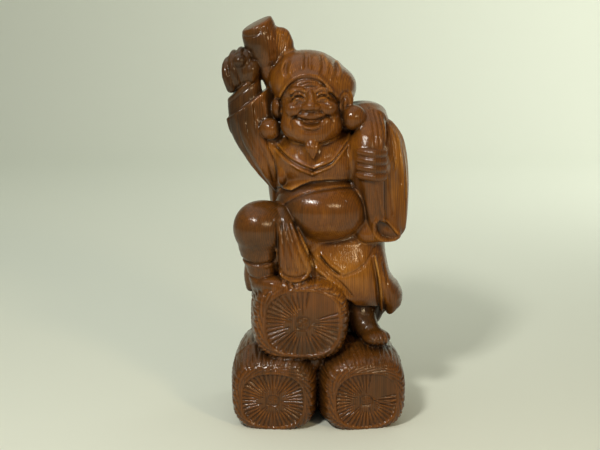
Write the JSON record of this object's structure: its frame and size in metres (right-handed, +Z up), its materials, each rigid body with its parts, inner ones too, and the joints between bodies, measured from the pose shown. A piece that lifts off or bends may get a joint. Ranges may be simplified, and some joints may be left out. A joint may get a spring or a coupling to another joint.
{
  "type": "daikoku figure",
  "caption": "Carved wooden god of fortune on straw rice bales, with raised mallet and a sack over the shoulder; ornament for a shelf or alcove.",
  "frame": {"origin": "under the middle of the figure's outline, on the surface that the bales stand on", "axes": "+Z up; the figure looks along -Y, and +X is to the right of someone who faces it"},
  "size_m": [0.1854, 0.1428, 0.4027],
  "materials": {
    "varnished_wood": "reddish brown carved wood under a glossy clear varnish, near black in the recesses and golden brown on the worn heights, with fine upright grain"
  },
  "bodies": {
    "root": {"daikoku_carving": "varnished_wood"}
  },
  "joints": []
}
